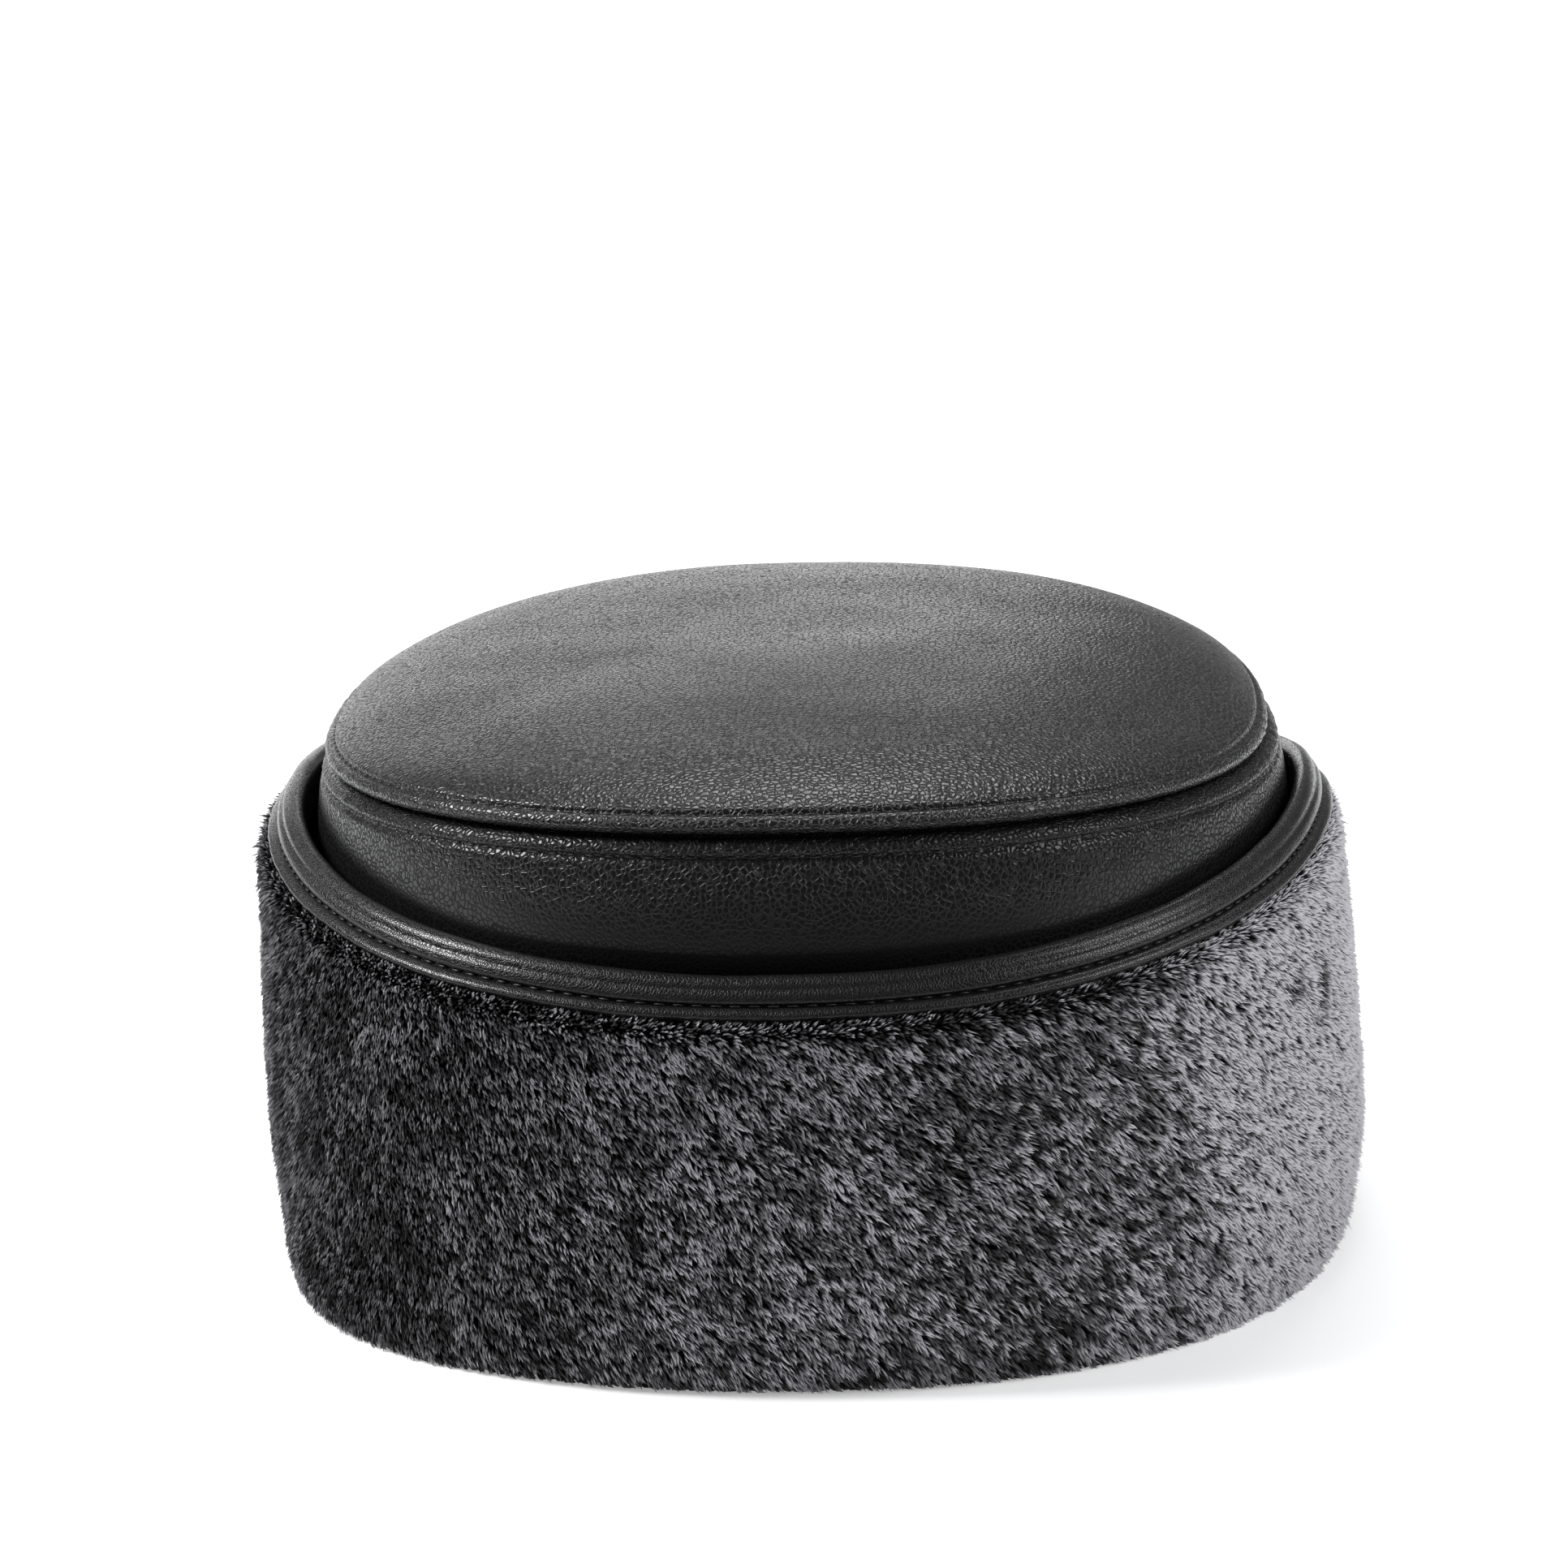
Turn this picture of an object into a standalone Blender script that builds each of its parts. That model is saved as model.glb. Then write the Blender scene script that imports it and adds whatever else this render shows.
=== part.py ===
"""A brimless leather winter hat with a turned-up fur cuff, as five sewn pieces.

Everything is in metres with +Z up. The hat stands on the fold of its cuff at z = 0, and its front faces
-Y. Every ring of the hat is a slightly squared oval that is longer from front to back than it is wide. A
ring is named by its half width. The cuff's upper edge is higher over the ears than in front and behind.
"""

import math

import bpy
import bmesh
from mathutils import Matrix, Vector

MM = 0.001

# The oval of a 58 cm head
HEAD_HALF_WIDTH = 84.4 * MM  # inside the crown, at the hem
OVAL_EXTRA = 16.5 * MM  # half length less half width, the same for every ring
SQUARENESS = 2.25  # power of the oval: 2 is an ellipse, and more is squarer at its four corners

# Walls and clearances
LEATHER_WALL = 2.0 * MM  # crown leather on its interlining
FACING_WALL = 1.3 * MM  # thinner leather on the inner side of the cuff
SEWN_GAP = 0.3 * MM  # left between pieces that are sewn face to face
SEAM_ALLOWANCE = 3.0 * MM  # edge of a panel that is turned in behind a seam
ALLOWANCE_WALL = 1.3 * MM  # the tip's own turned edge is pared thinner

# Heights above the surface that the hat stands on
HEM_HEIGHT = 8.0 * MM  # lower edge of the crown band and of the cuff facing
SEAM_FRONT = 100.0 * MM  # seam between the crown band and the crown tip
SEAM_SIDE = 95.0 * MM
SEAM_BACK = 99.5 * MM
CUFF_RISE = 5.8 * MM  # how far the cuff's edge stands above its mean over the ears, and below it in front
CUFF_FOOT = 72.0 * MM  # from here up, the cuff's edge is raised and lowered by the whole of that

# The soft hat leans a little to one side as it rises
LEAN = 0.024  # sideways shift towards -X for each unit of height

LEATHER_STEPS = 56  # steps round an oval of leather
FUR_STEPS = 84  # steps round an oval of fur, a multiple of the lock's own steps

# The crown band's outer side, from its hem to the seam
BAND_ROWS = [
    # (share of the height, swell beyond the hem)
    (0.00, 0.0 * MM),
    (0.22, 1.9 * MM),
    (0.48, 4.7 * MM),
    (0.70, 6.6 * MM),
    (0.86, 7.0 * MM),
    (0.96, 5.7 * MM),
    (1.00, 3.6 * MM),
]

# The crown tip's outer side, from the seam to its middle, which is puffed up
TIP_ROWS = [
    # (reach from the middle, rise above the seam)
    (0.990, 0.0 * MM),
    (1.002, 1.0 * MM),
    (1.006, 2.3 * MM),
    (0.998, 3.9 * MM),
    (0.972, 5.8 * MM),
    (0.920, 7.6 * MM),
    (0.830, 9.1 * MM),
    (0.690, 10.2 * MM),
    (0.490, 10.9 * MM),
    (0.250, 11.3 * MM),
]
TIP_PUFF = 11.4 * MM  # rise at the very middle

# The heights of the cuff's pieces below are those halfway between its front and its sides.

# The cuff facing's inner side, which the crown band is turned towards
FACING_ROWS = [
    # (half width, height)
    (86.7 * MM, HEM_HEIGHT),
    (90.6 * MM, 26.0 * MM),
    (94.8 * MM, 52.0 * MM),
    (97.4 * MM, CUFF_FOOT),
    (97.4 * MM, 79.4 * MM),
]

# The binding folds over the top edge of the cuff. It is stitched through at the groove, which leaves a
# narrow lip below.
BINDING_ROWS = [
    # (half width, height, place)
    (95.9 * MM, 74.0 * MM, "inner edge"),
    (95.8 * MM, 79.6 * MM, "inner side"),
    (96.4 * MM, 81.4 * MM, "inner shoulder"),
    (97.7 * MM, 82.2 * MM, "crest"),
    (99.4 * MM, 81.9 * MM, "outer shoulder"),
    (100.9 * MM, 80.6 * MM, "roll"),
    (101.6 * MM, 78.8 * MM, "roll"),
    (101.2 * MM, 77.5 * MM, "groove"),
    (102.0 * MM, 76.7 * MM, "lip"),
    (102.2 * MM, 75.6 * MM, "lip"),
    (101.6 * MM, 74.8 * MM, "outer edge"),
    (100.8 * MM, 75.3 * MM, "under the lip"),
    (100.3 * MM, 78.9 * MM, "channel"),
    (99.5 * MM, 80.4 * MM, "channel"),
    (97.9 * MM, 80.9 * MM, "channel"),
    (97.1 * MM, 79.8 * MM, "channel"),
    (97.1 * MM, 74.0 * MM, "inner edge"),
]

# The fur cuff's section. It turns under the hem, and it is flat where it rests. Relief is the share of a
# lock's height that shows at that row, so the rows of full relief are the rows of locks.
FUR_ROWS = [
    # (half width, height, relief)
    (99.0 * MM, 79.6 * MM, 0.0),
    (99.5 * MM, 79.2 * MM, 0.0),
    (100.3 * MM, 74.3 * MM, 0.0),
    (103.2 * MM, 74.0 * MM, 0.3),
    (104.6 * MM, 71.4 * MM, 0.8),
    (105.2 * MM, 65.5 * MM, 0.3),
    (105.8 * MM, 59.0 * MM, 1.0),
    (106.2 * MM, 52.0 * MM, 0.3),
    (106.5 * MM, 45.0 * MM, 1.0),
    (106.7 * MM, 38.0 * MM, 0.3),
    (106.8 * MM, 31.0 * MM, 1.0),
    (106.8 * MM, 24.0 * MM, 0.3),
    (106.7 * MM, 17.0 * MM, 1.0),
    (106.5 * MM, 10.0 * MM, 0.3),
    (106.0 * MM, 4.0 * MM, 0.6),
    (103.0 * MM, 0.0, 0.0),
    (89.0 * MM, 0.0, 0.0),
    (85.6 * MM, 1.6 * MM, 0.0),
    (84.7 * MM, 5.0 * MM, 0.0),
    (85.8 * MM, HEM_HEIGHT - SEWN_GAP, 0.0),
    (88.3 * MM, HEM_HEIGHT - SEWN_GAP, 0.0),
    (92.3 * MM, 26.0 * MM, 0.0),
    (96.5 * MM, 52.0 * MM, 0.0),
    (99.0 * MM, CUFF_FOOT, 0.0),
]
LOCK_HEIGHT = 1.5 * MM  # how far a lock stands out from the hollow beside it
LOCK_PROFILE = [1.0, 0.45, 0.0]  # across one lock: its ridge, its slope and the hollow beside it

# (red, green, blue), roughness
FINISHES = {
    "crown_leather": ((0.018, 0.018, 0.020), 0.42),
    "trim_leather": ((0.014, 0.014, 0.015), 0.34),
    "grey_fur": ((0.105, 0.105, 0.115), 0.90),
}


def clear_scene():
    """Removes whatever the open file holds, so that the hat is all there is."""
    for thing in list(bpy.data.objects):
        bpy.data.objects.remove(thing, do_unlink=True)


def finish_material(finish):
    """The material of one finish, made the first time that it is asked for."""
    if finish in bpy.data.materials:
        return bpy.data.materials[finish]
    colour, roughness = FINISHES[finish]
    made = bpy.data.materials.new(finish)
    made.use_nodes = True
    shader = made.node_tree.nodes["Principled BSDF"]
    shader.inputs["Base Color"].default_value = (*colour, 1.0)
    shader.inputs["Roughness"].default_value = roughness
    shader.inputs["Metallic"].default_value = 0.0
    return made


def turns(steps):
    """The angles of one oval's points. Turn 0 is the front, and a quarter turn is the +X side."""
    return [2 * math.pi * step / steps for step in range(steps)]


def seam_height(turn, reach=1.0):
    """Height of the seam's own surface, which is a shallow saddle. Reach is 0 at the middle."""
    middle = (SEAM_FRONT + SEAM_BACK + 2 * SEAM_SIDE) / 4
    slope = (SEAM_FRONT - SEAM_BACK) / 2
    saddle = (SEAM_FRONT + SEAM_BACK - 2 * SEAM_SIDE) / 4
    return middle + slope * reach * math.cos(turn) + saddle * reach**2 * math.cos(2 * turn)


def oval_point(half_width, height, turn, reach=1.0):
    """One point of the hat's oval. A reach below 1 brings it in towards the middle."""
    half_length = half_width + OVAL_EXTRA
    across = abs(math.sin(turn) / half_width) ** SQUARENESS
    forward = abs(math.cos(turn) / half_length) ** SQUARENESS
    radius = reach * (across + forward) ** (-1 / SQUARENESS)
    return Vector((radius * math.sin(turn) - LEAN * height, -radius * math.cos(turn), height))


def cuff_height(height, turn):
    """A height on the cuff, raised over the ears and lowered in front and behind."""
    share = (height - HEM_HEIGHT) / (CUFF_FOOT - HEM_HEIGHT)
    return height - CUFF_RISE * min(max(share, 0.0), 1.0) * math.cos(2 * turn)


def cuff_ring(half_width, height):
    """An oval of the cuff's leather."""
    return [oval_point(half_width, cuff_height(height, turn), turn) for turn in turns(LEATHER_STEPS)]


def add_solid(name, rings, finish, poles=None):
    """A closed solid through its rings. They join into a hoop, or end at two poles where poles are given."""
    mesh = bmesh.new()
    loops = [[mesh.verts.new(point) for point in points] for points in rings]
    pairs = list(zip(loops, loops[1:]))
    if poles is None:
        pairs.append((loops[-1], loops[0]))
    else:
        for loop, pole in zip((loops[0], loops[-1]), poles):
            centre = mesh.verts.new(pole)
            for first, second in zip(loop, loop[1:] + loop[:1]):
                mesh.faces.new((first, second, centre))
    for one, other in pairs:
        for step in range(len(one)):
            after = (step + 1) % len(one)
            mesh.faces.new((one[step], one[after], other[after], other[step]))
    bmesh.ops.recalc_face_normals(mesh, faces=mesh.faces)
    data = bpy.data.meshes.new(name)
    mesh.to_mesh(data)
    mesh.free()
    data.shade_smooth()
    data.set_sharp_from_angle(angle=math.radians(50))
    data.materials.append(finish_material(finish))
    made = bpy.data.objects.new(name, data)
    bpy.context.scene.collection.objects.link(made)
    return made


def crown_band():
    """The upright wall of the crown. Its top edge is turned in as the seam's allowance."""
    hem = HEAD_HALF_WIDTH + LEATHER_WALL
    seam = hem + BAND_ROWS[-1][1]

    def wall(half_width, share):
        """An oval of the upright wall at a share of the way from the hem to the seam."""
        points = []
        for turn in turns(LEATHER_STEPS):
            top = seam_height(turn) - SEWN_GAP
            points.append(oval_point(half_width, HEM_HEIGHT + share * (top - HEM_HEIGHT), turn))
        return points

    def turned_edge(inset, drop):
        """An oval of the turned edge, which lies under the crown tip's own."""
        reach = 1 - inset / seam
        heights = [seam_height(turn, reach) - SEWN_GAP - drop for turn in turns(LEATHER_STEPS)]
        return [oval_point(seam, height, turn, reach) for height, turn in zip(heights, turns(LEATHER_STEPS))]

    outside = [wall(hem + swell, share) for share, swell in BAND_ROWS]
    allowance = [
        turned_edge(SEAM_ALLOWANCE, 0.0),
        turned_edge(SEAM_ALLOWANCE, LEATHER_WALL),
        turned_edge(LEATHER_WALL, LEATHER_WALL),
    ]
    inside = [wall(hem + swell - LEATHER_WALL, share) for share, swell in reversed(BAND_ROWS[:-1])]
    return add_solid("crown_band", outside + allowance + inside, "crown_leather")


def inset_rows(rows, scale, wall):
    """Rows moved in by the wall's thickness, square to the section that they draw."""
    moved = []
    for before, row, after in zip(rows, rows[1:], rows[2:] + [(0.0, rows[-1][1])]):
        run = (after[0] - before[0]) * scale
        rise = after[1] - before[1]
        length = math.hypot(run, rise)
        moved.append((row[0] - wall * rise / length / scale, row[1] + wall * run / length))
    return moved


def crown_tip():
    """The puffed oval panel that closes the crown, with its edge turned in above the band's."""
    seam = HEAD_HALF_WIDTH + LEATHER_WALL + BAND_ROWS[-1][1]

    def level(reach, rise):
        """An oval of the panel at a rise above the seam's surface."""
        heights = [seam_height(turn, reach) + rise for turn in turns(LEATHER_STEPS)]
        return [oval_point(seam, height, turn, reach) for height, turn in zip(heights, turns(LEATHER_STEPS))]

    outside = [level(reach, rise) for reach, rise in reversed(TIP_ROWS)]
    turned_in = 1 - SEAM_ALLOWANCE / seam
    allowance = [
        level(turned_in, 0.0),
        level(turned_in, ALLOWANCE_WALL),
        level(1 - LEATHER_WALL / seam, ALLOWANCE_WALL),
    ]
    inside = [level(reach, rise) for reach, rise in inset_rows(TIP_ROWS, seam, LEATHER_WALL)[1:]]
    middle = seam_height(0.0, 0.0)
    poles = [oval_point(seam, middle + rise, 0.0, 0.0) for rise in (TIP_PUFF, TIP_PUFF - LEATHER_WALL)]
    return add_solid("crown_tip", outside + allowance + inside, "crown_leather", poles)


def cuff_facing():
    """The leather on the inner side of the turned-up cuff."""
    inside = [cuff_ring(half_width, height) for half_width, height in FACING_ROWS]
    outside = [cuff_ring(half_width + FACING_WALL, height) for half_width, height in reversed(FACING_ROWS)]
    return add_solid("cuff_facing", inside + outside, "trim_leather")


def cuff_binding():
    """The rolled leather edge on top of the cuff."""
    rings = [cuff_ring(half_width, height) for half_width, height, place in BINDING_ROWS]
    return add_solid("cuff_binding", rings, "trim_leather")


def fur_cuff():
    """The pile of the cuff in slanting locks. Each row of locks starts one step further round."""
    rings = []
    for row, (half_width, height, relief) in enumerate(FUR_ROWS):
        points = []
        for step, turn in enumerate(turns(FUR_STEPS)):
            lock = LOCK_PROFILE[(step + row) % len(LOCK_PROFILE)]
            outer = half_width + LOCK_HEIGHT * relief * (lock - 0.5)
            points.append(oval_point(outer, cuff_height(height, turn), turn))
        rings.append(points)
    return add_solid("fur_cuff", rings, "grey_fur")


def centre_over_origin(pieces):
    """Shifts the pieces sideways together until the middle of their box is over the origin."""
    corners = [vertex.co for piece in pieces for vertex in piece.data.vertices]
    middle_x = (min(c.x for c in corners) + max(c.x for c in corners)) / 2
    middle_y = (min(c.y for c in corners) + max(c.y for c in corners)) / 2
    shift = Matrix.Translation((-middle_x, -middle_y, 0.0))
    for piece in pieces:
        piece.data.transform(shift)


clear_scene()
centre_over_origin([crown_tip(), crown_band(), cuff_facing(), cuff_binding(), fur_cuff()])
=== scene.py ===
# %% [markdown]
# This lesson dresses a soft winter hat: an oval leather crown, closed by a puffed leather tip, inside a
# thick fur cuff that is turned up all round and edged with a rolled leather binding. The measured solids of
# the hat come first, as a fixed frame. They could be shown as they are, but they are coarse, so each one
# lends its sizes to a finer piece that is made here and then takes its place.

# %% Load the measured hat
import math
from types import SimpleNamespace

import bpy
import numpy as np
from mathutils import Matrix, Vector, noise


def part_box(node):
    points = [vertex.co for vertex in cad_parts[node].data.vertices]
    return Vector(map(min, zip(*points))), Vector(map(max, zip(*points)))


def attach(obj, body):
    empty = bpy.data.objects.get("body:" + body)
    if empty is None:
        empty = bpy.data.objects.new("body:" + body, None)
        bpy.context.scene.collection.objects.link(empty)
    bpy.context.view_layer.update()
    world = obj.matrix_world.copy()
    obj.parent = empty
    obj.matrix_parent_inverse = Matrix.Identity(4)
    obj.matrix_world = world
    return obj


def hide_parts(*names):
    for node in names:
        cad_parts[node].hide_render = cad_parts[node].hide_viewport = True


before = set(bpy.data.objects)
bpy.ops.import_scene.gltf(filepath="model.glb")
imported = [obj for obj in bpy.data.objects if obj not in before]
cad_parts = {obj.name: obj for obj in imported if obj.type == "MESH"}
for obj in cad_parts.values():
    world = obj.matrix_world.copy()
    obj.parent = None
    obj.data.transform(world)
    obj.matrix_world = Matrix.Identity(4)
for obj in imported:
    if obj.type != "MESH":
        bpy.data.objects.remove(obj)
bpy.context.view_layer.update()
print("measured pieces:", sorted(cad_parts))

# %% [markdown]
# The photo was taken from almost in front of the hat, a little to the wearer's left, and looks down at it by
# about 15 degrees through a long lens. The place was worked out from the outlines of the seam and of the
# cuff. A camera could be pointed with a Track To constraint, but a matrix made from three directions is
# plainer and also carries the small roll of the picture.

# %% Place the camera
MM = 0.001
LOOK_AT = Vector((0.0, 0.0, 0.050))
CAMERA_DISTANCE = 1.2
CAMERA_TURN = math.radians(2.88)
CAMERA_RISE = math.radians(15.36)
CAMERA_ROLL = -0.026
LENS = 140.1
SENSOR_WIDTH = 36.0
PIXELS_PER_METRE = 6266  # of the photo, at LOOK_AT
FRAME_SHIFT_RIGHT = -35.3 / PIXELS_PER_METRE  # from LOOK_AT to the middle of the picture, in metres there
FRAME_SHIFT_UP = 202.6 / PIXELS_PER_METRE
NEAREST, FARTHEST = 0.05, 50.0


def facing(direction, roll):
    """Right, up and back of a camera that looks along a direction."""
    right = direction.cross(Vector((0, 0, 1))).normalized()
    up = right.cross(direction)
    rolled = right * math.cos(roll) + up * math.sin(roll)
    return rolled, up * math.cos(roll) - right * math.sin(roll), -direction


level = math.cos(CAMERA_RISE)
back = Vector((math.sin(CAMERA_TURN) * level, -math.cos(CAMERA_TURN) * level, math.sin(CAMERA_RISE)))
stand = LOOK_AT + back * CAMERA_DISTANCE
right, up, away = facing(-back, CAMERA_ROLL)
middle = LOOK_AT + up * FRAME_SHIFT_UP + right * FRAME_SHIFT_RIGHT
right, up, away = facing((middle - stand).normalized(), CAMERA_ROLL)
camera_data = bpy.data.cameras.new("camera")
camera_data.lens = LENS
camera_data.sensor_width = SENSOR_WIDTH
camera_data.clip_start, camera_data.clip_end = NEAREST, FARTHEST
camera = bpy.data.objects.new("camera", camera_data)
camera.matrix_world = Matrix.Translation(stand) @ Matrix((right, up, away)).transposed().to_4x4()
bpy.context.scene.collection.objects.link(camera)
bpy.context.scene.camera = camera
print("camera stands at", [round(x, 3) for x in stand])

# %% [markdown]
# The hat stands on a pale table. A real product table curves up behind the thing, but with this camera the
# far edge of a large flat floor never comes into view, so a plane will do. It glows a little, so that it
# stays white where no light reaches it.

# %% Lay the floor
FLOOR_SIZE = 16.0
FLOOR_MIDDLE = (0, 7.73, 0)  # the floor's near edge is 0.27 m in front of the hat's middle
FLOOR_COLOUR = (0.90, 0.91, 0.915, 1)
FLOOR_GLOW = 0.32
bpy.context.scene.view_settings.view_transform = "Standard"
bpy.ops.object.select_all(action="DESELECT")
bpy.ops.mesh.primitive_plane_add(size=FLOOR_SIZE, location=FLOOR_MIDDLE)
floor = bpy.context.object
floor.name = "floor"
floor_paint = bpy.data.materials.new("pale_floor")
floor_paint.use_nodes = True
floor_shader = floor_paint.node_tree.nodes["Principled BSDF"]
floor_shader.inputs["Base Color"].default_value = FLOOR_COLOUR
floor_shader.inputs["Emission Color"].default_value = (1.0, 1.0, 1.0, 1)
floor_shader.inputs["Emission Strength"].default_value = FLOOR_GLOW
floor_shader.inputs["Roughness"].default_value = 0.8
floor_shader.inputs["Specular IOR Level"].default_value = 0.2
floor.data.materials.append(floor_paint)
print("floor laid")

# %% [markdown]
# Black leather shows its shape only by what it mirrors. The low light behind is mirrored by the far and left
# parts of the crown's top at a flat angle, which turns them grey and leaves its right side dark. The light
# above puts the glow on the grain near the front seam. The light on the left gives the glints on the seam
# and on the binding, and the one on the right brings out the pale tips of the fur. The room itself stays
# fairly dark, so that the upright leather does. The floor ends close in front of the hat for the same
# reason. A light could be aimed by a constraint, but the turn from one direction is plainer.

# %% Hang the lights
LIGHTS = [
    ("light_above", (0.0, 1.2, 2.0), 1.05, 1.05, 22.0),
    ("light_behind", (-0.5, 2.6, 0.34), 1.3, 0.72, 5.4),
    ("light_left", (-1.7, 0.05, 1.7), 0.95, 0.95, 76.0),
    ("light_right", (1.8, -0.3, 1.4), 1.3, 1.4, 34.0),
]  # place, width and height in metres, power in watts
ROOM_COLOUR = (0.97, 0.96, 1.0, 1)
ROOM_STRENGTH = 0.15


def add_light(name, place, width, height, power):
    """One rectangular soft light that faces the hat."""
    data = bpy.data.lights.new(name, "AREA")
    data.shape = "RECTANGLE"
    data.size, data.size_y = width, height
    data.energy = power
    light = bpy.data.objects.new(name, data)
    place = Vector(place)
    turned = (place - LOOK_AT).to_track_quat("Z", "Y").to_matrix().to_4x4()
    light.matrix_world = Matrix.Translation(place) @ turned
    bpy.context.scene.collection.objects.link(light)


for light_values in LIGHTS:
    add_light(*light_values)
room = bpy.data.worlds.new("room")
bpy.context.scene.world = room
room.use_nodes = True
room.node_tree.nodes["Background"].inputs["Color"].default_value = ROOM_COLOUR
room.node_tree.nodes["Background"].inputs["Strength"].default_value = ROOM_STRENGTH

# %% [markdown]
# Every ring of the hat is the same slightly squared oval, longer from front to back than it is wide, and is
# named by its half width. The sizes are those that the solids were made from, so what is made here lies
# close to them. The sag behind the ears is new here, and so are the fuller tip and the pile's slump further
# on, because they follow the photo more closely. The seam's surface is a shallow saddle, and the cuff's edge
# is higher over the ears.

# %% The hat's own sizes
HEAD_HALF_WIDTH = 84.4 * MM
OVAL_EXTRA = 16.5 * MM
SQUARENESS = 2.25
LEATHER_WALL = 2.0 * MM
FACING_WALL = 1.3 * MM
SEWN_GAP = 0.3 * MM
SEAM_ALLOWANCE = 3.0 * MM
ALLOWANCE_WALL = 1.3 * MM
HEM_HEIGHT = 8.0 * MM
SEAM_FRONT = 100.0 * MM
SEAM_SIDE = 95.0 * MM
SEAM_BACK = 99.5 * MM
CUFF_RISE = 5.8 * MM
CUFF_FOOT = 72.0 * MM
RIGHT_REAR_SAG = 5.2 * MM
LEFT_REAR_SAG = 1.2 * MM
LEAN = 0.024
WIDEST_SWELL = 7.0 * MM  # of the solid band, past its hem
WIDEST_SHARE = 0.86  # of the way from the hem up to the seam
HEM_HALF_WIDTH = HEAD_HALF_WIDTH + LEATHER_WALL
SEAM_HALF_WIDTH = HEM_HALF_WIDTH + 3.6 * MM
SEAM_MEAN = (SEAM_FRONT + SEAM_BACK + 2 * SEAM_SIDE) / 4


def oval(half_width, height, turn, reach=1.0):
    """Points of the hat's oval before it is centred. Turn 0 is the front and a quarter turn is the +X side."""
    across = np.abs(np.sin(turn) / half_width) ** SQUARENESS
    forward = np.abs(np.cos(turn) / (half_width + OVAL_EXTRA)) ** SQUARENESS
    radius = reach * (across + forward) ** (-1 / SQUARENESS)
    height = height + 0 * radius
    return np.stack([radius * np.sin(turn) - LEAN * height, -radius * np.cos(turn), height], -1)


def seam_height(turn, reach=1.0):
    """Height of the seam's saddle."""
    slope = (SEAM_FRONT - SEAM_BACK) / 2
    saddle = (SEAM_FRONT + SEAM_BACK - 2 * SEAM_SIDE) / 4
    return SEAM_MEAN + slope * reach * np.cos(turn) + saddle * reach**2 * np.cos(2 * turn)


def hump(turn, middle, half):
    """1 at a middle turn, falling softly to 0 at a half width from it. Both are in degrees."""
    off = (np.degrees(turn) - middle + 180) % 360 - 180
    return np.where(np.abs(off) < half, np.cos(off / half * math.pi / 2) ** 2, 0.0)


def cuff_height(height, turn):
    """A height on the cuff, raised over the ears, lowered in front and behind, and sagging at both rears."""
    share = np.clip((height - HEM_HEIGHT) / (CUFF_FOOT - HEM_HEIGHT), 0, 1)
    drop = CUFF_RISE * np.cos(2 * turn) + RIGHT_REAR_SAG * hump(turn, 132, 62)
    drop = drop + LEFT_REAR_SAG * hump(turn, -130, 60)
    return height - share * drop


low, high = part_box("crown_band")
widest_height = HEM_HEIGHT + WIDEST_SHARE * (SEAM_SIDE - SEWN_GAP - HEM_HEIGHT)
widest = oval(HEM_HALF_WIDTH + WIDEST_SWELL, widest_height, np.array([-1, 1]) * math.pi / 2)
CENTRE_SHIFT = Vector(((low.x + high.x - widest[0][0] - widest[1][0]) / 2, 0, 0))
print("the oval is shifted sideways by", round(CENTRE_SHIFT.x / MM, 3), "mm")

# %% [markdown]
# A hat is close to a turned shape. So each piece starts as half of its section, drawn at true size, which is
# spun round the upright axis as on a lathe. The round piece is then pressed to the oval: each vertex keeps
# its place on the section and moves to the oval of that size. A loft of hand-placed rings would also do,
# but this way the section stays one short table.

# %% Spin a section and press it to the oval


def pick_nothing():
    """Leaves edit mode and deselects everything, because an operator acts on all that is selected."""
    if bpy.context.object and bpy.context.object.mode != "OBJECT":
        bpy.ops.object.mode_set(mode="OBJECT")
    bpy.ops.object.select_all(action="DESELECT")


def pick(piece):
    """Selects one piece alone and makes it active."""
    pick_nothing()
    piece.select_set(True)
    bpy.context.view_layer.objects.active = piece


def flow_through(rows, each):
    """A smooth line through the rows of a table, with the given number of steps between two rows."""
    rows = np.array(rows, float)
    ends = np.vstack([2 * rows[0] - rows[1], rows, 2 * rows[-1] - rows[-2]])
    out = []
    for before, start, stop, after in zip(ends, ends[1:], ends[2:], ends[3:]):
        t = np.linspace(0, 1, each, endpoint=False)[:, None]
        straight = 2 * start + (stop - before) * t
        bend = (2 * before - 5 * start + 4 * stop - after) * t**2
        turn_over = (3 * start - before - 3 * stop + after) * t**3
        out.append(0.5 * (straight + bend + turn_over))
    return np.vstack(out + [rows[-1:]])


def spin_section(name, points, steps, closed=True):
    """Draws the section in the XZ plane and spins it round the Z axis into a closed piece."""
    count = len(points)
    edges = [(i, (i + 1) % count) for i in range(count if closed else count - 1)]
    data = bpy.data.meshes.new(name)
    data.from_pydata([(r, 0, z) for r, z in points], edges, [])
    piece = bpy.data.objects.new(name, data)
    bpy.context.scene.collection.objects.link(piece)
    pick(piece)
    bpy.ops.object.mode_set(mode="EDIT")
    bpy.ops.mesh.select_all(action="SELECT")
    bpy.ops.mesh.spin(steps=steps, angle=2 * math.pi, center=(0, 0, 0), axis=(0, 0, 1), use_auto_merge=True)
    bpy.ops.mesh.select_all(action="SELECT")
    bpy.ops.mesh.remove_doubles(threshold=0.00001)
    bpy.ops.mesh.normals_make_consistent(inside=False)
    bpy.ops.object.mode_set(mode="OBJECT")
    return piece


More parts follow.
